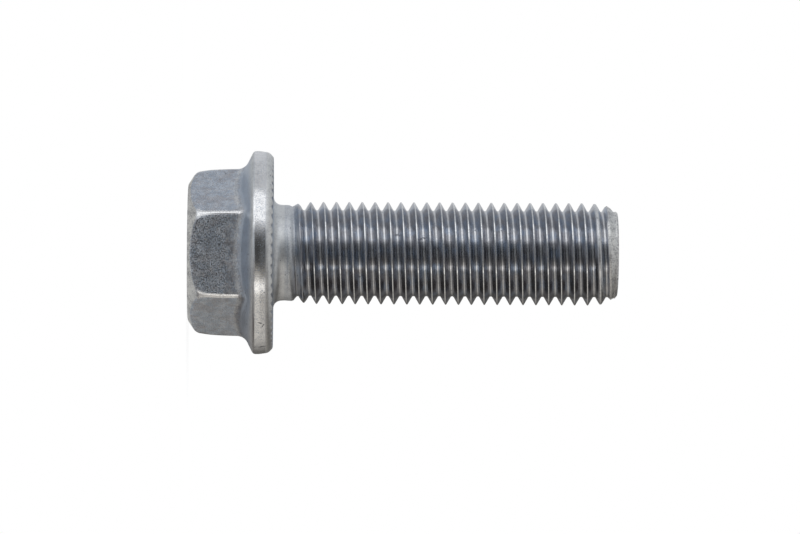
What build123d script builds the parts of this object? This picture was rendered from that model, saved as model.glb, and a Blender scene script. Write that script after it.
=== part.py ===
"""Hexagon flange bolt, M12 x 1.5 x 40, with a serrated bearing face.

The bolt is one cold-forged piece: drafted hexagon, cone, flange, neck and
shank.  It stands on the top of its head, so the head's flat top lies at
Z = 0, the bolt's axis is the Z axis and the threaded end points up.  The
shank is drawn at the thread's major diameter, with the neck, the start of
the thread and the chamfered point in their true form.
"""

import os

from build123d import *
from math import atan, cos, degrees, hypot, pi, radians, tan

# ---------------------------------------------------------------- sizes, mm
# shank
thread_diameter = 11.9  # major diameter of M12, class 6g
length_under_head = 40.0
neck_diameter = 11.1  # the blank, about the pitch diameter of the thread
neck_length = 2.0
thread_start_length = 2.2  # over which the crests rise out of the neck
head_fillet = 1.1

# threaded end
point_diameter = 9.96
point_length = 0.42
point_chamfer_angle = 34.0  # from the axis
point_bevel = 0.2

# hexagon
width_across_flats = 17.0  # where the flats meet the flange
flat_draft = 1.5
corner_round = 0.45
head_height = 9.9
top_flat_diameter = 15.7
top_chamfer_angle = 33.0  # from the top flat
top_chamfer_width = 1.75
top_corner_round = 1.4

# flange
flange_diameter = 23.7
bearing_diameter = 23.0
rim_height = 2.3
belly_height = 1.5  # of the widest part of the rim
rim_bevel = 0.35
cone_angle = 27.6  # from the bearing face
cone_blend = 0.7  # hollow between the flats and the cone

# serrations of the bearing face
serration_count = 60
serration_depth = 0.2  # at the rim
serration_inner_diameter = 18.4
serration_cover = 0.7  # share of the rim that the notches take
serration_lean = 0.25  # place of a notch's bottom along its width

# ------------------------------------------------------- worked-out values
bearing_z = head_height
end_z = bearing_z + length_under_head
flange_radius = flange_diameter / 2
bearing_radius = bearing_diameter / 2
neck_radius = neck_diameter / 2
thread_radius = thread_diameter / 2
point_radius = point_diameter / 2
top_flat_radius = top_flat_diameter / 2

thread_start_z = bearing_z + neck_length
thread_full_z = thread_start_z + thread_start_length
point_z = end_z - point_length
chamfer_z = point_z - (thread_radius - point_radius) / tan(radians(point_chamfer_angle))

rim_top_z = bearing_z - rim_height
hub_radius = width_across_flats / 4  # inside the hexagon, out of sight
hub_z = rim_top_z - (flange_radius - hub_radius) * tan(radians(cone_angle))
corner_radius = width_across_flats / 2 / cos(radians(30))

top_chamfer_radius = top_flat_radius + top_chamfer_width
top_chamfer_z = top_chamfer_width * tan(radians(top_chamfer_angle))

serration_inner_radius = serration_inner_diameter / 2
serration_reach = flange_radius - serration_inner_radius
serration_fall = degrees(atan(serration_depth / serration_reach))
serration_width = serration_cover * pi * flange_diameter / serration_count


def bevelled(before, corner, after, width):
    """The two points that cut a profile's corner off, each width away from it."""
    here = Vector(*corner)
    return [here + (Vector(*end) - here).normalized() * width for end in (before, after)]


def meets_cone(edge):
    """True for the edges along which the flats and corners run into the cone."""
    middle = edge @ 0.5
    inside_corners = hypot(middle.X, middle.Y) < corner_radius
    return hub_z < middle.Z < rim_top_z and inside_corners and edge.bounding_box().size.Z < rim_height


# profile of all that is round below the head's top: cone, rim, bearing face,
# neck, start of the thread, shank, chamfer and point
hub = (hub_radius, hub_z)
rim_top = (flange_radius, rim_top_z)
belly = (flange_radius, bearing_z - belly_height)
bearing_edge = (bearing_radius, bearing_z)
neck_root = (neck_radius, bearing_z)
point_foot = (point_radius, point_z)
point_edge = (point_radius, end_z)
end_centre = (0, end_z)
round_profile = [
    (0, hub_z),
    hub,
    *bevelled(hub, rim_top, belly, rim_bevel),
    belly,
    *bevelled(belly, bearing_edge, neck_root, rim_bevel),
    neck_root,
    (neck_radius, thread_start_z),
    (thread_radius, thread_full_z),
    (thread_radius, chamfer_z),
    point_foot,
    *bevelled(point_foot, point_edge, end_centre, point_bevel),
    end_centre,
]
profile_rounds = [head_fillet if place is neck_root else 0 for place in round_profile]

# one notch: a leaning V that starts in the bearing face and deepens towards the rim
notch_plane = Plane(
    origin=(serration_inner_radius, 0, bearing_z),
    x_dir=(0, 1, 0),
    z_dir=Vector(1, 0, 0).rotate(Axis.Y, serration_fall),
)
with BuildPart() as notch:
    with BuildSketch(notch_plane):
        with BuildLine():
            Polyline(
                (0, 0),
                ((1 - serration_lean) * serration_width, serration_depth),
                (-serration_lean * serration_width, serration_depth),
                close=True,
            )
        make_face()
    extrude(amount=serration_reach + rim_bevel)


with BuildPart() as flange_bolt:
    # drafted hexagon, from inside the flange down to the head's flat top
    with BuildSketch(Plane.XY.offset(rim_top_z)):
        RegularPolygon(width_across_flats / 2, 6, major_radius=False)
    extrude(amount=-rim_top_z, taper=flat_draft)
    corners = flange_bolt.edges().filter_by(lambda e: e.bounding_box().size.Z > rim_top_z / 2)
    fillet(corners, corner_round)

    # the top chamfer, which rolls softly into the hexagon's corners
    with BuildSketch(Plane.XZ):
        with BuildLine():
            FilletPolyline(
                (0, 0),
                (top_flat_radius, 0),
                (top_chamfer_radius, top_chamfer_z),
                (flange_radius, rim_top_z),
                (0, rim_top_z),
                radius=[0, 0, top_corner_round, 0, 0],
                close=True,
            )
        make_face()
    revolve(axis=Axis.Z, mode=Mode.INTERSECT)

    # flange, neck and shank
    with BuildSketch(Plane.XZ):
        with BuildLine():
            FilletPolyline(*round_profile, radius=profile_rounds, close=True)
        make_face()
    revolve(axis=Axis.Z)
    fillet(flange_bolt.edges().filter_by(meets_cone), cone_blend)

    # serrations, pressed into the outer part of the bearing face
    with PolarLocations(0, serration_count):
        add(notch.part, mode=Mode.SUBTRACT)

flange_bolt.part.label = "flange_bolt"

os.makedirs("parts", exist_ok=True)
export_step(flange_bolt.part, "parts/flange_bolt.step")
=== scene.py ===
from math import atan2, ceil, cos, hypot, pi, radians, sin, sqrt, tan

import bmesh
import bpy
from bpy.props import FloatProperty, FloatVectorProperty, IntProperty, PointerProperty
from bpy.types import Operator, Panel, PropertyGroup
from mathutils import Matrix, Vector


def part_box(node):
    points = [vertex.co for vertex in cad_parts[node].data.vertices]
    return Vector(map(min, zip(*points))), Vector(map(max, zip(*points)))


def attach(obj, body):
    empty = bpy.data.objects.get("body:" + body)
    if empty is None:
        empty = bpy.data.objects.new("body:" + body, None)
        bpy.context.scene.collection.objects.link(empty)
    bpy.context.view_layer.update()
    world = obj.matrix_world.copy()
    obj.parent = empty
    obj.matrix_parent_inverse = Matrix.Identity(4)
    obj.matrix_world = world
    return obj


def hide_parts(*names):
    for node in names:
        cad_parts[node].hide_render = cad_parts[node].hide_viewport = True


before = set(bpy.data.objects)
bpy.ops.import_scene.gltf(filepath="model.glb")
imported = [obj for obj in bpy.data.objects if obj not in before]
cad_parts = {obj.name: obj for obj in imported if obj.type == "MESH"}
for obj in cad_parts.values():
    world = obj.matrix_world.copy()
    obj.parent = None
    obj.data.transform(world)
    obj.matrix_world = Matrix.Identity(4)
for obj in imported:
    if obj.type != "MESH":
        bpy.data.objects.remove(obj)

bl_info = {
    "name": "Flange Bolt",
    "version": (1, 0, 0),
    "blender": (4, 5, 0),
    "location": "3D View > Sidebar > Flange Bolt",
    "description": "Hexagon flange bolt with a rolled fine thread and a serrated bearing face",
    "category": "Add Mesh",
}

MM = 0.001
TURN = 2 * pi
NODE = "flange_bolt"
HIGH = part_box(NODE)[1]
END_Z = HIGH.z / MM  # the threaded end; the head's flat top lies at zero
FLANGE_RADIUS = HIGH.x / MM - 0.06  # the rim is rolled off a little all round
BEARING_Z = 9.9  # the face that clamps, which is the height of the head
NECK_GAP = 0.12  # height of the strip that joins the neck to the start of the thread
HEAD_COLUMNS = 480  # eight to each serration
THREAD_COLUMNS = 96


def length(name, description, default):
    """A size that the sidebar shows in the scene's length unit."""
    return FloatProperty(
        name=name, description=description, default=default * MM, unit="LENGTH", precision=5
    )


def angle(name, description, default):
    """An angle that the sidebar shows in degrees."""
    return FloatProperty(
        name=name, description=description, default=radians(default), subtype="ANGLE"
    )


def colour(name, description, default):
    """A colour that the sidebar shows as a swatch."""
    return FloatVectorProperty(
        name=name, description=description, default=default, size=3, subtype="COLOR"
    )


class HeadSizes(PropertyGroup):
    """Sizes of the forged head."""

    across_flats: length("Across Flats", "Width of the hexagon where it meets the flange", 17.03)
    draft: angle("Draft", "Lean of each flat towards the top of the head", 1.5)
    edge: length("Edge", "Radius of the hexagon's edges beside the flange", 0.5)
    edge_swell: length("Edge Swell", "How much rounder the edges get at the head's top", 1.2)
    top_flat: length("Top Flat", "Diameter of the head's flat top", 15.7)
    chamfer: angle("Top Chamfer", "Slope of the chamfer, from the top flat", 33.0)
    cone: angle("Cone", "Slope of the flange's cone, from the bearing face", 26.0)
    cone_blend: length("Cone Blend", "Reach of the hollow between the flats and the cone", 0.8)
    rim_height: length("Rim Height", "From the bearing face to the cone's outer edge", 2.3)
    serrations: IntProperty(
        name="Serrations", description="Notches in the bearing face", default=60, min=8
    )
    serration_depth: length("Serration Depth", "Depth of each notch at the rim", 0.3)
    serration_start: length("Serration Start", "Radius at which the notches begin", 9.2)


class ShankSizes(PropertyGroup):
    """Sizes of the neck and the thread."""

    neck: length("Neck", "Diameter of the plain neck", 11.1)
    neck_fillet: length("Neck Fillet", "Reach of the fillet under the head", 1.15)
    pitch: length("Pitch", "Distance from crest to crest", 1.5)
    crest: length("Crest", "Diameter over the crests", 11.9)
    root: length("Root", "Diameter at the roots", 9.93)
    lead_in: length("Lead In", "Height of the first crest over the bearing face, at +X", 0.56)
    point: length("Point", "Diameter of the flat end", 9.96)
    point_angle: angle("Point Angle", "Chamfer of the end, from the axis", 34.0)


class ZincFinish(PropertyGroup):
    """Colours of the zinc plating."""

    zinc: colour("Zinc", "Bluish clear zinc on the forged flats", (0.635, 0.70, 0.785))
    grainy: colour("Grainy Zinc", "Zinc on the rough chamfers", (0.93, 0.93, 0.91))
    bright: colour("Bright Zinc", "Zinc rubbed bright on edges and crests", (0.95, 0.955, 0.96))
    rolled: colour("Rolled Zinc", "Zinc on the flanks of the thread", (0.50, 0.505, 0.53))
    shade: colour("Shade", "Dark grains between the zinc crystals", (0.15, 0.16, 0.19))
    warm: colour("Warm Tint", "Brownish grains", (0.42, 0.33, 0.28))
    cool: colour("Cool Tint", "Bluish grains", (0.46, 0.58, 0.74))


class StudioSettings(PropertyGroup):
    """Light round the bolt."""

    high_light: FloatProperty(
        name="High Light", description="Brightness of the upper softbox", default=0.46
    )
    low_light: FloatProperty(
        name="Low Light", description="Brightness of the lower softbox", default=0.50
    )


# ---------------------------------------------------------------- profiles


def soft_corner(before, corner, after, reach, steps=4):
    """Points that round off a profile's corner, from reach before it to reach after it."""
    start = corner + (before - corner).normalized() * reach
    end = corner + (after - corner).normalized() * reach
    shares = [i / steps for i in range(steps + 1)]
    return [start.lerp(corner, s).lerp(corner.lerp(end, s), s) for s in shares]


def stretch(start, end, *shares):
    """Points between two points of a profile, at the given shares of the way."""
    return [start.lerp(end, s) for s in shares]


def smooth(value, low, high):
    """A soft step from 0 at low to 1 at high."""
    t = min(1, max(0, (value - low) / (high - low)))
    return t * t * (3 - 2 * t)


def from_corner(turn):
    """Angle from the nearest corner of the hexagon."""
    return abs((turn + pi / 6) % (pi / 3) - pi / 6)


class HeadShape:
    """The head's profile at any angle round the axis, in millimetres."""

    def __init__(self, sizes):
        self.flat = sizes.across_flats / MM / 2
        self.draft = tan(sizes.draft)
        self.edge, self.swell = sizes.edge / MM, sizes.edge_swell / MM
        self.top = Vector((sizes.top_flat / MM / 2, 0))
        self.chamfer = tan(sizes.chamfer)
        self.cone = tan(sizes.cone)
        self.blend = sizes.cone_blend / MM
        self.rim_z = BEARING_Z - sizes.rim_height / MM
        self.foot_z = self.rim_z - (FLANGE_RADIUS - self.flat) * self.cone
        self.count = sizes.serrations
        self.notch_depth = sizes.serration_depth / MM
        self.notch_start = sizes.serration_start / MM
        self.round_rows = self.rim()

    def side_edge(self, z):
        """Radius of the hexagon's edges at a height."""
        rounder = 0.1 * smooth(self.foot_z - z, 0, self.foot_z)
        return self.edge + rounder + self.swell * (1 - smooth(z, 0.6, 2.1))

    def side(self, turn, z):
        """Radius of the hexagon at an angle and height."""
        away = from_corner(turn)
        above = max(0, self.foot_z - z)
        flat = self.flat - above * self.draft - 0.04 * smooth(above, 0, 3)
        edge = self.side_edge(z)
        centre = (flat - edge) / cos(pi / 6)
        if away < atan2(edge / 2, centre + edge * cos(pi / 6)):
            return centre * cos(away) + sqrt(edge**2 - (centre * sin(away)) ** 2)
        return flat / cos(pi / 6 - away)

    def rim(self):
        """Cone's outer edge, rim and bearing face, which are the same all round."""
        inside = Vector((FLANGE_RADIUS - 1, self.rim_z - self.cone))
        cone_edge = Vector((FLANGE_RADIUS, self.rim_z))
        belly = Vector((FLANGE_RADIUS, BEARING_Z - 1.6))
        low = Vector((FLANGE_RADIUS - 0.16, BEARING_Z - 0.5))
        edge = Vector((FLANGE_RADIUS - 0.72, BEARING_Z))
        inner = Vector((7.4, BEARING_Z))
        rows = soft_corner(inside, cone_edge, belly, 0.33, 6)
        rows += stretch(rows[-1], belly, 0.08, 0.28)
        rows += soft_corner(cone_edge, belly, low, 0.2, 4)
        rows += stretch(rows[-1], low, 0.1, 0.5)
        rows += soft_corner(belly, low, edge, 0.34, 7)
        rows += stretch(rows[-1], edge, 0.25, 0.5)
        rows += soft_corner(low, edge, inner, 0.14, 4)
        rows += stretch(rows[-1], inner, 0.04, 0.2, 0.35, 0.5, 0.65, 1)
        return rows

    def section(self, turn):
        """Points of the profile from the centre of the top to the bearing face."""
        corner = 1 - smooth(from_corner(turn), 0, pi / 20)
        # where the hexagon meets the top chamfer and the cone, each step closer than the last
        r = self.flat
        for _ in range(6):
            r = self.side(turn, (r - self.top.x) * self.chamfer)
        shoulder = Vector((r, (r - self.top.x) * self.chamfer))
        for _ in range(12):
            z = self.rim_z - (FLANGE_RADIUS - r) * self.cone
            r = self.side(turn, z)
        foot = Vector((r, z))
        cone_end = self.round_rows[0]

        rows = [Vector((0, 0)), Vector((self.top.x * 0.45, 0)), Vector((self.top.x * 0.9, 0))]
        rows += soft_corner(rows[0], self.top, shoulder, 0.22, 4)
        soft = min(0.13 + 0.5 * corner, (shoulder - self.top).length * 0.6)
        start = soft_corner(self.top, shoulder, foot, soft, 6)
        rows += stretch(rows[-1], start[0], 0.15, 0.6) + start
        hollow = soft_corner(shoulder, foot, cone_end, self.blend * (1 + 0.06 * corner), 6)
        for s in (0.04, 0.2, 0.4, 0.6, 0.8, 0.96):
            z = start[-1].y + (hollow[0].y - start[-1].y) * s
            straight = start[-1].lerp(hollow[0], s).x
            bow = 1 - (2 * s - 1) ** 2
            rows.append(Vector((straight + (self.side(turn, z) - straight) * bow, z)))
        rows += hollow
        rows += stretch(hollow[-1], cone_end, 0.06, 0.5, 0.94)
        return rows + self.round_rows

    def finish(self, turn, radius, z, lean):
        """How bright, rolled, grainy and smooth the plating is.

        The lean is the part of the surface's normal that points along the axis.
        """
        if radius > FLANGE_RADIUS - 0.75 and z < BEARING_Z + 0.1:
            below = 1 - smooth(z, BEARING_Z - 0.95, BEARING_Z - 0.75)
            rim = smooth(z, self.rim_z, self.rim_z + 0.15) * below
            return rim, 0, 0.9 * (1 - rim), 1
        low = z > 3  # near the flange, past the top chamfer
        side = 1 - smooth(abs(lean), 0.2, 0.45) if low else smooth(z, 1.1, 1.25)
        edge = self.side_edge(z) * 0.5 / self.flat
        on_edge = 1 - smooth(from_corner(turn), edge * 0.6, edge * 1.1)
        on_edge *= side * (z < self.foot_z + 0.3)
        chamfer = (1 - smooth(z, 1.2, 1.9)) * smooth(-lean, 0.25, 0.6) * (1 - on_edge)
        hollow = smooth(-lean, 0.06, 0.2) * (1 - smooth(-lean, 0.3, 0.55)) * low * (1 - on_edge)
        fillet = z > BEARING_Z + 0.05
        cone = smooth(-lean, 0.5, 0.8) * smooth(radius, self.flat, self.flat + 0.6) * low
        grainy = max(chamfer, 0.45 * hollow, 0.75 * fillet)
        return on_edge, 0, grainy, max(cone, z > BEARING_Z - 0.1)

    def notch(self, turn, radius):
        """Depth of the serrations at an angle and radius."""
        phase = (turn / TURN * self.count + 0.25) % 1 - 0.25
        depth = max(0, 1 + phase / 0.18) if phase < 0 else max(0, 1 - phase / 0.52)
        fall = (radius - self.notch_start) / (FLANGE_RADIUS - self.notch_start)
        return self.notch_depth * min(1, max(0, fall)) * depth


class ShankShape:
    """The neck's and thread's profile, in millimetres."""

    def __init__(self, sizes):
        self.neck = sizes.neck / MM / 2
        self.fillet = sizes.neck_fillet / MM
        self.pitch = sizes.pitch / MM
        self.crest = sizes.crest / MM / 2
        self.root = sizes.root / MM / 2
        self.lead_in = sizes.lead_in / MM
        self.point = sizes.point / MM / 2
        self.point_slope = tan(sizes.point_angle)
        self.point_z = END_Z - 0.5
        self.neck_end = BEARING_Z + 1.4
        self.cut_z = END_Z - 0.29  # from here up the end's edge is rounded

    def one_pitch(self):
        """Profile of one thread, from its crest to just before the next crest."""
        flank = (self.crest - self.root) * tan(pi / 6)
        land = (self.pitch / 2 - flank) / 2
        top, bottom = Vector((self.crest, land * 0.6)), Vector((self.root, land * 0.6 + flank))
        crest, root = Vector((self.crest, 0)), Vector((self.root, self.pitch / 2))
        half = [crest, *soft_corner(crest, top, bottom, land * 0.35, 3)]
        half += stretch(half[-1], bottom, 0.05, 0.45)
        half += soft_corner(top, bottom, root, land * 1.15, 3)
        other = [Vector((p.x, self.pitch - p.y)) for p in reversed(half[1:])]
        return half + [root] + other

    def rolled(self, radius, z):
        """Radius after the start, where crests rise slowly, and the pointed end are allowed for."""
        above = z - BEARING_Z
        if radius > self.neck:
            fill = smooth(above, 1.3, 4.8) * (0.9 + 0.1 * smooth(above, 4, 7))
        else:
            fill = smooth(above, 1.6, 3.2)
        ridge = 0.035 * max(0, 1 - abs(above - 1.78) / 0.16)
        radius = self.neck + (radius - self.neck) * fill + ridge
        fullness = (radius - self.root) / (self.crest - self.root)
        limit = min(self.worn(z), self.point_limit(z) + 0.12 * smooth(fullness, 0.1, 0.6))
        ease = 0.05
        return min(radius, limit) - max(0, ease - abs(limit - radius)) ** 2 / (4 * ease)

    def worn(self, z):
        """Radius of the crests, which are worn flat close to the end."""
        return self.crest - 0.13 * smooth(z - BEARING_Z, 36.6, 37.8)

    def point_limit(self, z):
        """Radius of the chamfered end."""
        return self.point + max(0, self.point_z - z) * self.point_slope

    def finish(self, radius, z):
        """How bright, rolled, grainy and smooth the plating is."""
        worn = self.worn(z)
        crest = smooth(radius, worn - 0.07, worn - 0.02)
        root = 0.55 * (1 - smooth(radius, self.root + 0.01, self.root + 0.05))
        rolled = smooth(z - BEARING_Z, 1.9, 3.0)
        chamfer = smooth(z, END_Z - 2.2, END_Z - 1.8)
        chamfer *= smooth(radius - self.point_limit(z), -0.08, -0.01)
        if z > self.point_z - 0.1:
            chamfer = 1
        grainy = max(chamfer, 5 * (self.crest - worn) * crest)
        bright = max(crest, root) * (1 - grainy)
        neck = 1 - rolled
        return bright, rolled * (1 - grainy), max(grainy, 0.5 * neck), 0.6 * neck


# ------------------------------------------------------------ mesh helpers


def chain(bm, points, rows=None):
    """A line of edges through the points of a profile, in the XZ plane."""
    verts = [bm.verts.new((p.x, 0, p.y)) for p in points]
    if rows:
        for i, vert in enumerate(verts):
            vert[rows] = i
    return verts + [bm.edges.new(pair) for pair in zip(verts, verts[1:])]


def turned(bm, geom, columns, rise=0.0):
    """Spins a profile once round the axis, climbing by rise."""
    bmesh.ops.spin(
        bm,
        geom=geom,
        cent=(0, 0, 0),
        axis=(0, 0, 1),
        dvec=(0, 0, rise / columns),
        angle=TURN,
        steps=columns,
        use_merge=not rise,
    )
    bmesh.ops.remove_doubles(bm, verts=bm.verts, dist=0.0005)


def open_edges(bm, z):
    """Edges of the open loop at a height."""
    near = [e for e in bm.edges if e.is_boundary]
    return [e for e in near if all(abs(v.co.z - z) < 0.001 for v in e.verts)]


def forge_head(bm, sizes):
    """The turned blank of the head, pressed to a hexagon, with serrations in its bearing face."""
    shape = HeadShape(sizes)
    rows = bm.verts.layers.int.new("row")
    section = shape.section(0)
    turned(bm, chain(bm, section, rows), HEAD_COLUMNS)
    side_end = len(section) - len(shape.round_rows)  # rows from here on are round
    crowd = 0.7 / 6  # how far columns crowd towards the hexagon's edges
    sections = {}
    for vert in bm.verts:
        if hypot(*vert.co.xy) < 0.001:
            continue  # on the axis
        row = vert[rows]
        turn = atan2(vert.co.y, vert.co.x) % TURN
        column = round(turn / TURN * HEAD_COLUMNS) % HEAD_COLUMNS
        turn = column * TURN / HEAD_COLUMNS
        if row < side_end:
            turn -= crowd * sin(6 * turn) * smooth(side_end - row, 0, 3)
        if turn not in sections:
            sections[turn] = shape.section(turn)
        radius, z = sections[turn][row]
        if z > BEARING_Z - 0.6:
            z = min(z, BEARING_Z - shape.notch(turn, radius))
        vert.co = (radius * cos(turn), radius * sin(turn), z)
    return shape


def add_neck(bm, shape):
    """The fillet under the head and the plain neck."""
    inner = Vector((7.0, BEARING_Z))
    corner = Vector((shape.neck, BEARING_Z))
    top = Vector((shape.neck, shape.neck_end - NECK_GAP))
    points = [inner, *soft_corner(inner, corner, top, shape.fillet, 7), top]
    turned(bm, chain(bm, points), THREAD_COLUMNS)


def roll_thread(bm, shape):
    """The helix of one rolled thread, faded into the neck and cut to the chamfered end."""
    one = shape.one_pitch()
    start = BEARING_Z + shape.lead_in - shape.pitch
    turns = ceil((END_Z - start) / shape.pitch) + 1
    points = [Vector((p.x, p.y + start + k * shape.pitch)) for k in range(turns) for p in one]
    turned(bm, chain(bm, points), THREAD_COLUMNS, shape.pitch)
    for vert in bm.verts:
        radius = hypot(*vert.co.xy)
        vert.co.xy *= shape.rolled(radius, vert.co.z) / radius
    for z, side in ((shape.neck_end, -1), (shape.cut_z, 1)):
        bmesh.ops.bisect_plane(
            bm,
            geom=[*bm.verts, *bm.edges, *bm.faces],
            dist=0.0005,
            plane_co=(0, 0, z),
            plane_no=(0, 0, side),
            clear_outer=True,
        )
    loose = [v for v in bm.verts if not v.link_faces]
    bmesh.ops.delete(bm, geom=loose, context="VERTS")


def close_end(bm, shape):
    """The rounded edge and flat face of the threaded end."""
    ring = open_edges(bm, shape.cut_z)
    rings = ((0.03, 0.10), (0.10, 0.18), (0.19, 0.23), (0.32, 0.25), (2.5, 0.25))
    for inset, up in rings:
        made = bmesh.ops.extrude_edge_only(bm, edges=ring)["geom"]
        ring = [g for g in made if isinstance(g, bmesh.types.BMEdge)]
        for vert in (g for g in made if isinstance(g, bmesh.types.BMVert)):
            vert.co.xy *= (shape.point - inset) / hypot(*vert.co.xy)
            vert.co.z = shape.cut_z + up
    cap = bmesh.ops.contextual_create(bm, geom=ring)["faces"]
    bmesh.ops.poke(bm, faces=cap)


def join(parts):
    """One bmesh that holds the geometry of several."""
    whole = bmesh.new()
    for part in parts:
        mesh = bpy.data.meshes.new("part")
        part.to_mesh(mesh)
        part.free()
        whole.from_mesh(mesh)
        bpy.data.meshes.remove(mesh)
    return whole


def mark_finish(bm, head, shank):
    """Stores how bright, rolled, grainy and smooth the plating is, in the attribute "finish"."""
    layer = bm.verts.layers.float_color.new("finish")
    bm.normal_update()
    for vert in bm.verts:
        radius = hypot(*vert.co.xy)
        if vert.co.z > shank.neck_end:
            vert[layer] = shank.finish(radius, vert.co.z)
        else:
            vert[layer] = head.finish(atan2(vert.co.y, vert.co.x), radius, vert.co.z, vert.normal.z)


def make_object(name, bm):
    """A smooth-shaded object, in metres, from a mesh built in millimetres."""
    bmesh.ops.scale(bm, vec=(MM, MM, MM), verts=bm.verts)
    mesh = bpy.data.meshes.new(name)
    bm.to_mesh(mesh)
    bm.free()
    mesh.shade_smooth()
    thing = bpy.data.objects.new(name, mesh)
    bpy.context.scene.collection.objects.link(thing)
    return thing


# --------------------------------------------------------------- materials


class Nodes:
    """Short ways to add nodes to a tree and link them."""

    def __init__(self, tree):
        self.nodes = tree.nodes
        self.links = tree.links

    def add(self, kind, ins=None, **settings):
        """A node with its settings, and its inputs set or linked."""
        node = self.nodes.new(kind)
        for name, value in settings.items():
            setattr(node, name, value)
        for name, value in (ins or {}).items():
            socket = node.inputs[name]
            if isinstance(value, bpy.types.NodeSocket):
                self.links.new(value, socket)
            else:
                socket.default_value = value
        return node

    def math(self, operation, a, b=0.0, c=0.0):
        """Result of a Math node."""
        return self.add("ShaderNodeMath", {0: a, 1: b, 2: c}, operation=operation).outputs[0]

    def times(self, a, b):
        """Product of two values."""
        return self.math("MULTIPLY", a, b)

    def most(self, a, b):
        """The larger of two values."""
        return self.math("MAXIMUM", a, b)

    def step(self, value, low, high, to_low=0.0, to_high=1.0):
        """A soft step of a value, from to_low to to_high."""
        ins = {"Value": value, "From Min": low, "From Max": high}
        ins |= {"To Min": to_low, "To Max": to_high}
        return self.add("ShaderNodeMapRange", ins, interpolation_type="SMOOTHSTEP").outputs[0]

    def mix(self, factor, a, b):
        """Result of a Mix node, between two numbers or two colours."""
        if any(isinstance(v, float) for v in (a, b)):
            return self.add("ShaderNodeMix", {0: factor, 2: a, 3: b}).outputs[0]
        return self.add("ShaderNodeMix", {0: factor, 6: a, 7: b}, data_type="RGBA").outputs[2]

    def tint(self, under, over, mask, most):
        """One colour laid over another where a mask is, with the share that shows at most."""
        return self.mix(self.times(mask, most), under, over)

    def noise(self, vector, scale, detail=2.0, roughness=0.5):
        """Value of a Noise Texture."""
        ins = {"Vector": vector, "Scale": scale, "Detail": detail, "Roughness": roughness}
        return self.add("ShaderNodeTexNoise", ins).outputs[0]


def socket(tree, name, kind, default=None, way="INPUT"):
    """A named input or output of a node group."""
    made = tree.interface.new_socket(name=name, in_out=way, socket_type="NodeSocket" + kind)
    if default is not None:
        made.default_value = default


def grain_group():
    """Node group: the zinc's grain, as masks of dark, light, warm and cool grains and a height."""
    tree = bpy.data.node_groups.new("Zinc Grain", "ShaderNodeTree")
    socket(tree, "Vector", "Vector")
    socket(tree, "Size", "Float", 0.2)
    for name in ("Dark", "Light", "Warm", "Cool", "Height"):
        socket(tree, name, "Float", way="OUTPUT")
    n = Nodes(tree)
    inputs = n.add("NodeGroupInput").outputs
    scaled = n.add("ShaderNodeVectorMath", {0: inputs["Vector"]}, operation="SCALE")
    n.links.new(n.math("DIVIDE", 1 / MM, inputs["Size"]), scaled.inputs["Scale"])
    place = scaled.outputs[0]
    fine = n.noise(place, 1.0, 2.0, 0.6)
    broad = n.noise(place, 0.16, 2.0, 0.5)
    both = n.math("ADD", n.times(fine, 0.65), n.times(broad, 0.35))
    tints = n.add("ShaderNodeTexNoise", {"Vector": place, "Scale": 0.7, "Detail": 1.0}).outputs[1]
    tint = n.add("ShaderNodeSeparateColor", {0: tints}).outputs
    outputs = n.add("NodeGroupOutput").inputs
    n.links.new(n.step(both, 0.54, 0.42), outputs["Dark"])
    n.links.new(n.step(both, 0.50, 0.60), outputs["Light"])
    n.links.new(n.step(tint[0], 0.52, 0.64), outputs["Warm"])
    n.links.new(n.step(tint[2], 0.50, 0.62), outputs["Cool"])
    n.links.new(fine, outputs["Height"])
    return tree


def pits_group():
    """Node group: a mask of small scattered pits."""
    tree = bpy.data.node_groups.new("Plating Pits", "ShaderNodeTree")
    socket(tree, "Vector", "Vector")
    socket(tree, "Spacing", "Float", 0.8)
    socket(tree, "Radius", "Float", 0.12)
    socket(tree, "Mask", "Float", way="OUTPUT")
    n = Nodes(tree)
    inputs = n.add("NodeGroupInput").outputs
    scaled = n.add("ShaderNodeVectorMath", {0: inputs["Vector"]}, operation="SCALE")
    n.links.new(n.math("DIVIDE", 1 / MM, inputs["Spacing"]), scaled.inputs["Scale"])
    cells = n.add("ShaderNodeTexVoronoi", {"Vector": scaled.outputs[0], "Scale": 1.0}).outputs
    chance = n.add("ShaderNodeSeparateColor", {0: cells["Color"]}).outputs[0]
    size = n.times(chance, inputs["Radius"])
    mask = n.math("LESS_THAN", cells["Distance"], size)
    n.links.new(mask, n.add("NodeGroupOutput").inputs["Mask"])
    return tree


def group_node(n, tree, **ins):
    """Places a node group and sets its inputs."""
    return n.add("ShaderNodeGroup", ins, node_tree=tree).outputs


DENTS = (  # knocks from handling: place, half sizes and lean, in millimetres and degrees
    ((7.9, -8.8, 8.5), (0.10, 0.30, 0.34), 20),
    ((8.2, -8.5, 8.8), (0.30, 0.30, 0.08), 30),
    ((10.75, -4.8, 8.7), (0.09, 0.40, 0.55), -12),
    ((-1.65, -5.75, 47.85), (0.20, 0.30, 0.12), 0),
    ((0.60, -5.90, 47.95), (0.22, 0.30, 0.10), 10),
    ((-1.90, -4.60, 27.3), (0.13, 0.45, 0.24), 20),
    ((-0.75, -4.90, 28.95), (0.10, 0.30, 0.10), 0),
    ((0.50, -4.90, 29.0), (0.10, 0.30, 0.12), 0),
    ((-2.25, -4.60, 24.2), (0.14, 0.60, 0.20), 15),
    ((2.60, -4.40, 19.9), (0.12, 0.50, 0.16), 0),
)


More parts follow.
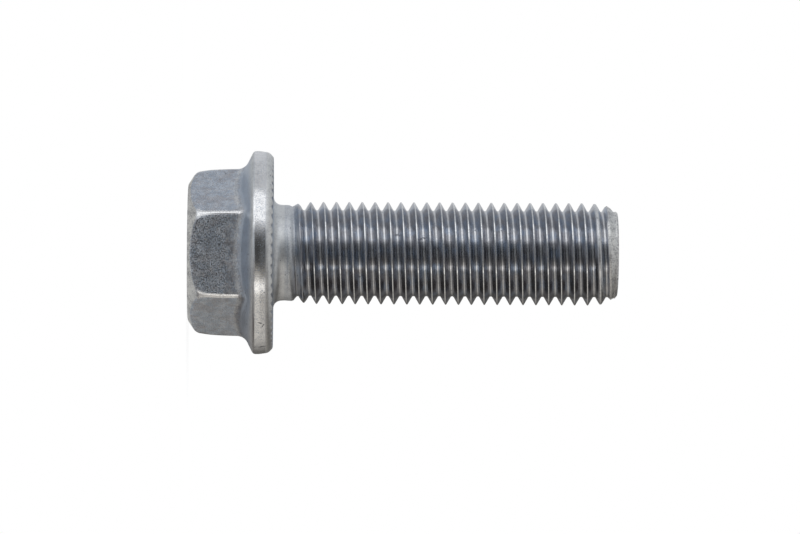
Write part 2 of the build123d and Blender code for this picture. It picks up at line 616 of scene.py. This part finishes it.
def dents(n, here, rugged):
    """A mask of the knocks in DENTS, with rugged edges."""
    mask = 0.0
    for place, size, lean in DENTS:
        ins = {
            "Vector": here,
            "Location": [c * MM for c in place],
            "Rotation": (0, radians(lean), 0),
            "Scale": [c * MM for c in size],
        }
        inside = n.add("ShaderNodeMapping", ins, vector_type="TEXTURE").outputs[0]
        away = n.add("ShaderNodeVectorMath", {0: inside}, operation="LENGTH").outputs["Value"]
        away = n.math("MULTIPLY_ADD", rugged, 1.6, n.math("SUBTRACT", away, 0.8))
        mask = n.most(mask, n.step(away, 1.0, 0.7))
    return mask


def empty_material(name):
    """A material with nothing in it yet, and the means to add its nodes."""
    material = bpy.data.materials.new(name)
    material.use_nodes = True
    n = Nodes(material.node_tree)
    n.nodes.clear()
    return material, n


def zinc_material(finish):
    """Clear zinc: mottled on the flats, bright on edges, grainy on chamfers, dark where rolled."""
    material, n = empty_material("Clear Zinc")
    colours = {name: (*getattr(finish, name), 1) for name in finish.__annotations__}
    zinc, shade, warm, cool = (colours[name] for name in ("zinc", "shade", "warm", "cool"))
    here = n.add("ShaderNodeTexCoord").outputs["Object"]
    metres = n.add("ShaderNodeSeparateXYZ", {0: here}).outputs
    mark = n.add("ShaderNodeAttribute", attribute_name="finish").outputs
    marks = n.add("ShaderNodeSeparateColor", {0: mark["Color"]}).outputs
    bright_mark, rolled_mark, grainy_mark = marks[:3]
    smooth_mark = mark["Alpha"]

    # patterns: grain in two sizes, blotches, pits and knocks, and streaks round the thread
    grain = grain_group()
    coarse = group_node(n, grain, Vector=here, Size=0.24)
    fine = group_node(n, grain, Vector=here, Size=0.14)
    blotches = n.noise(here, 1 / (1.4 * MM), 2.0, 0.5)
    pit = group_node(n, pits_group(), Vector=here, Spacing=0.9, Radius=0.11)["Mask"]
    pit = n.most(pit, dents(n, here, fine["Height"]))
    flat = n.add("ShaderNodeCombineXYZ", {0: metres["X"], 1: metres["Y"]}).outputs[0]
    radius = n.add("ShaderNodeVectorMath", {0: flat}, operation="LENGTH").outputs["Value"]
    ring = n.add("ShaderNodeCombineXYZ", {0: radius, 1: 0.0, 2: metres["Z"]}).outputs[0]
    streaks = n.noise(ring, 1 / (0.07 * MM), 2.0, 0.6)
    eased = n.step(metres["Z"], 3.4 * MM, 7.0 * MM)  # where the mottle fades, by the flange
    dull = n.math("MULTIPLY_ADD", smooth_mark, 0.45, 0.45)
    dull = n.step(fine["Height"], 0.36, 0.44, dull, 0.0)  # grains that aren't rubbed bright
    patchy = n.times(bright_mark, n.math("SUBTRACT", 1.0, dull))

    # colours
    forged = n.tint(zinc, shade, fine["Dark"], n.mix(eased, 0.34, 0.30))
    forged = n.tint(forged, colours["bright"], fine["Light"], n.mix(eased, 0.38, 0.66))
    forged = n.tint(forged, warm, fine["Warm"], 0.3)
    forged = n.tint(forged, cool, fine["Cool"], 0.26)
    forged = n.mix(n.step(blotches, 0.45, 0.62, 0.0, 0.2), forged, warm)
    calm = n.tint(zinc, warm, coarse["Warm"], 0.10)
    calm = n.tint(calm, shade, coarse["Dark"], 0.08)
    forged = n.mix(smooth_mark, forged, calm)
    speckle = n.math("MULTIPLY_ADD", smooth_mark, -0.24, 0.50)
    grainy = n.tint(colours["grainy"], shade, fine["Dark"], speckle)
    bright = n.tint(colours["bright"], shade, fine["Dark"], 0.30)
    rolled = n.mix(n.step(streaks, 0.45, 0.62, 0.0, 0.45), colours["rolled"], shade)
    rolled = n.mix(n.step(blotches, 0.45, 0.65, 0.0, 0.35), rolled, cool)
    base = n.mix(rolled_mark, forged, rolled)
    base = n.mix(grainy_mark, base, grainy)
    base = n.mix(patchy, base, bright)
    base = n.tint(base, shade, pit, 0.8)

    # roughness
    rough = n.step(fine["Height"], 0.44, 0.60, n.mix(eased, 0.23, 0.42), 0.62)
    rough = n.mix(smooth_mark, rough, 0.35)
    rough = n.mix(rolled_mark, rough, 0.12)
    rough = n.mix(grainy_mark, rough, 0.48)
    rough = n.mix(patchy, rough, n.mix(rolled_mark, 0.13, 0.15))

    # grain that can be felt, which is weaker where the plating is rolled, smooth or bright
    lumps = n.math("ADD", n.times(coarse["Height"], 0.3), n.times(fine["Height"], 0.7))
    lumps = n.math("SUBTRACT", lumps, n.times(pit, 0.5))
    calmed = n.most(n.times(rolled_mark, 0.87), n.times(smooth_mark, 0.79))
    calmed = n.most(calmed, n.times(eased, 0.4))
    calmed = n.most(calmed, n.times(bright_mark, 0.8))
    height = n.times(lumps, n.math("SUBTRACT", 1.0, calmed))
    bump = n.add("ShaderNodeBump", {"Height": height, "Strength": 1.0, "Distance": 0.062 * MM})

    ins = {"Base Color": base, "Metallic": 1.0, "Roughness": rough, "Normal": bump.outputs[0]}
    surface = n.add("ShaderNodeBsdfPrincipled", ins).outputs[0]
    n.add("ShaderNodeOutputMaterial", {"Surface": surface})
    return material


def floor_material():
    """Pale floor that looks white to the camera and keeps the bolt's shadow."""
    material, n = empty_material("Pale Floor")
    matt = n.add("ShaderNodeBsdfDiffuse", {"Color": (0.45, 0.45, 0.45, 1)}).outputs[0]
    rays = n.add("ShaderNodeLightPath").outputs
    seen = n.most(rays["Is Camera Ray"], n.times(rays["Is Glossy Ray"], 0.37))
    ins = {"Color": (1, 1, 1, 1), "Strength": n.times(seen, 0.85)}
    glow = n.add("ShaderNodeEmission", ins).outputs[0]
    pale = n.add("ShaderNodeAddShader", {0: matt, 1: glow}).outputs[0]
    # only the floor right under the head shows in the metal, and past it the room does
    here = n.add("ShaderNodeTexCoord").outputs["Object"]
    away = n.add("ShaderNodeVectorMath", {0: here}, operation="LENGTH").outputs["Value"]
    open_air = n.times(rays["Is Glossy Ray"], n.step(away, 10.1 * MM, 11 * MM))
    clear = n.add("ShaderNodeBsdfTransparent").outputs[0]
    surface = n.add("ShaderNodeMixShader", {0: open_air, 1: pale, 2: clear}).outputs[0]
    n.add("ShaderNodeOutputMaterial", {"Surface": surface})
    return material


# --------------------------------------------------------------- operators

COOL, PLAIN, WARM = (0.97, 0.99, 1.03), (1, 1, 1), (1.05, 1, 0.93)
CAMERA_AWAY = 1.5  # the camera's own angle from -Y towards -X
CAMERA_AIM = (1.575, 0, 24.63)  # near the middle of the bolt
CAMERA_PLACE = (1.575, -750, 13.6)  # far off, a little towards the head
CAMERA_ROLL = 0.0055  # radians
LENS = 290.5
LAMP_HEIGHT = 0.025  # level with the middle of the bolt
FLOOR_RADIUS = 0.03
FLOOR_DROP = 0.02 * MM  # keeps the floor clear of the head's flat top
ROOM = (  # brightness of the room by angle from the camera's side, up is positive
    (-180, 0.10, WARM),
    (-150, 0.14, WARM),
    (-130, 0.34, WARM),
    (-108, 0.49, WARM),
    (-60, 0.53, WARM),
    (-29, 0.54, WARM),
    (-20, 0.20, WARM),
    (-10, 0.05, PLAIN),
    (12, 0.05, PLAIN),
    (24, 0.20, COOL),
    (34, 0.52, COOL),
    (90, 0.50, COOL),
    (130, 0.56, COOL),
    (155, 0.62, COOL),
    (172, 0.60, COOL),
    (180, 0.40, PLAIN),
)


class FLANGEBOLT_OT_bolt(Operator):
    """Make the flange bolt, from its forged head to its rolled thread"""

    bl_idname = "flange_bolt.make_bolt"
    bl_label = "Make Bolt"
    bl_options = {"REGISTER", "UNDO"}

    def execute(self, context):
        settings = context.scene
        head, neck, thread = bmesh.new(), bmesh.new(), bmesh.new()
        head_shape = forge_head(head, settings.bolt_head)
        shank = ShankShape(settings.bolt_shank)
        add_neck(neck, shank)
        roll_thread(thread, shank)
        close_end(thread, shank)
        bolt = join([neck, thread])
        gap = open_edges(bolt, shank.neck_end) + open_edges(bolt, shank.neck_end - NECK_GAP)
        bmesh.ops.bridge_loops(bolt, edges=gap)
        bolt = join([head, bolt])
        bmesh.ops.bridge_loops(bolt, edges=open_edges(bolt, BEARING_Z))
        bmesh.ops.recalc_face_normals(bolt, faces=bolt.faces)
        if any(not e.is_manifold for e in bolt.edges):
            raise RuntimeError("the bolt's skin isn't closed")
        mark_finish(bolt, head_shape, shank)
        piece = make_object("bolt", bolt)
        piece.data.materials.append(zinc_material(settings.bolt_finish))
        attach(piece, "root")
        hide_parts(NODE)
        return {"FINISHED"}


def softbox(name, away, width, height, strength, tint=(1, 1, 1), distance=0.7):
    """A lamp that faces the bolt, at an angle in degrees from the camera's side towards -X."""
    lamp = bpy.data.lights.new(name, "AREA")
    lamp.shape = "RECTANGLE"
    lamp.size, lamp.size_y = width, height
    lamp.energy = strength * pi * width * height
    lamp.color = tint
    thing = bpy.data.objects.new(name, lamp)
    away = radians(away + CAMERA_AWAY)
    back = Vector((-sin(away), -cos(away), 0))
    side = Vector((0, 0, 1)).cross(back)
    thing.matrix_world = Matrix((side, Vector((0, 0, 1)), back)).transposed().to_4x4()
    thing.location = back * distance + Vector((0, 0, LAMP_HEIGHT))
    bpy.context.scene.collection.objects.link(thing)


class FLANGEBOLT_OT_stage(Operator):
    """Set the floor, lights and camera"""

    bl_idname = "flange_bolt.set_stage"
    bl_label = "Set Stage"
    bl_options = {"REGISTER", "UNDO"}

    def execute(self, context):
        scene = context.scene
        studio = scene.bolt_studio
        bm = bmesh.new()
        bmesh.ops.create_circle(bm, cap_ends=True, segments=96, radius=FLOOR_RADIUS)
        floor = bpy.data.objects.new("floor", bpy.data.meshes.new("floor"))
        bm.to_mesh(floor.data)
        bm.free()
        scene.collection.objects.link(floor)
        floor.location.z = -FLOOR_DROP
        floor.data.materials.append(floor_material())

        high, low = studio.high_light, studio.low_light
        softbox("high softbox", 55, width=0.50, height=1.25, strength=high)
        softbox("low softbox", -40, width=0.15, height=0.9, strength=low, tint=(1, 0.98, 0.95))
        self.room(scene)
        self.camera(scene)
        scene.view_settings.view_transform = "Standard"
        return {"FINISHED"}

    def room(self, scene):
        """A pale room, dark round the camera and white behind the bolt."""
        world = bpy.data.worlds.new("room")
        world.use_nodes = True
        scene.world = world
        n = Nodes(world.node_tree)
        n.nodes.clear()
        way = n.add("ShaderNodeTexCoord").outputs["Generated"]
        ray = n.add("ShaderNodeSeparateXYZ", {0: way}).outputs
        x, y, z = ray["X"], ray["Y"], ray["Z"]

        # square to the bolt: a ramp all the way round its axis
        turn = n.math("ARCTAN2", n.times(x, -1), n.times(y, -1))
        turn = n.math("SUBTRACT", turn, radians(CAMERA_AWAY))
        ramp = n.add("ShaderNodeValToRGB", {0: n.math("MULTIPLY_ADD", turn, 1 / TURN, 0.5)})
        stops = ramp.color_ramp.elements
        while len(stops) < len(ROOM):
            stops.new(0.5)
        for stop, (degree, bright, tint) in zip(stops, ROOM):
            stop.position = degree / 360 + 0.5
            stop.color = (*(bright * t for t in tint), 1)

        # towards the bolt's ends: pale above (-X), dim below (+X), dimmest beyond the point
        under = n.times(n.step(x, 0.45, 0.70), n.step(y, -0.2, 0.05))
        dim = n.mix(under, (0.25, 0.24, 0.235, 1), (0.09, 0.08, 0.075, 1))
        dim = n.mix(n.step(z, -0.2, 0.2), dim, (0.07, 0.065, 0.06, 1))
        far = n.mix(n.step(x, -0.3, 0.4), (0.41, 0.435, 0.465, 1), dim)
        below = n.step(x, -0.3, 0.3)
        along = n.math("ABSOLUTE", z)
        ends = n.step(along, n.mix(below, 0.25, 0.13), n.mix(below, 0.65, 0.43))
        glow = n.mix(ends, ramp.outputs[0], far)

        # a white card beside the head, and a plain patch straight beyond the point
        beside = n.times(n.step(x, -0.35, -0.5), n.step(y, 0.15, -0.05))
        glow = n.mix(n.times(beside, n.step(z, -0.48, -0.6)), glow, (1, 1, 1, 1))
        glow = n.mix(n.step(z, 0.65, 0.92), glow, (0.50, 0.50, 0.50, 1))
        rays = n.add("ShaderNodeLightPath").outputs
        glow = n.mix(rays["Is Camera Ray"], glow, (1, 1, 1, 1))
        background = n.add("ShaderNodeBackground", {"Color": glow, "Strength": 1.0}).outputs[0]
        n.add("ShaderNodeOutputWorld", {"Surface": background})

    def camera(self, scene):
        """Level with the middle of the shank, far off, with +Z to the right."""
        swing = Matrix.Rotation(radians(-CAMERA_AWAY), 3, "Z")
        aim = swing @ Vector(CAMERA_AIM) * MM
        place = swing @ Vector(CAMERA_PLACE) * MM
        back = (place - aim).normalized()
        right = Vector((0, 0, 1))
        right = (right - back * right.dot(back)).normalized()
        right = Matrix.Rotation(CAMERA_ROLL, 3, back) @ right
        camera = bpy.data.cameras.new("camera")
        camera.lens = LENS
        camera.clip_start, camera.clip_end = 0.01, 10
        thing = bpy.data.objects.new("camera", camera)
        thing.matrix_world = Matrix((right, back.cross(right), back)).transposed().to_4x4()
        thing.location = place
        scene.collection.objects.link(thing)
        scene.camera = thing


class FLANGEBOLT_PT_sidebar(Panel):
    """Flange bolt tools"""

    bl_label = "Flange Bolt"
    bl_idname = "FLANGEBOLT_PT_sidebar"
    bl_space_type = "VIEW_3D"
    bl_region_type = "UI"
    bl_category = "Flange Bolt"

    def draw(self, context):
        layout = self.layout
        for operator in (FLANGEBOLT_OT_bolt, FLANGEBOLT_OT_stage):
            layout.operator(operator.bl_idname)
        for name in SETTINGS:
            group = getattr(context.scene, name)
            box = layout.box()
            box.label(text=group.__doc__)
            for prop in group.__annotations__:
                box.prop(group, prop)


SETTINGS = {
    "bolt_head": HeadSizes,
    "bolt_shank": ShankSizes,
    "bolt_finish": ZincFinish,
    "bolt_studio": StudioSettings,
}
CLASSES = (*SETTINGS.values(), FLANGEBOLT_OT_bolt, FLANGEBOLT_OT_stage, FLANGEBOLT_PT_sidebar)


def register():
    for cls in CLASSES:
        bpy.utils.register_class(cls)
    for name, group in SETTINGS.items():
        setattr(bpy.types.Scene, name, PointerProperty(type=group))


def unregister():
    for name in SETTINGS:
        delattr(bpy.types.Scene, name)
    for cls in reversed(CLASSES):
        bpy.utils.unregister_class(cls)


def main():
    """Makes the bolt and its stage."""
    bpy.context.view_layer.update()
    register()
    bpy.ops.flange_bolt.set_stage()
    bpy.ops.flange_bolt.make_bolt()


if __name__ == "__main__":
    main()
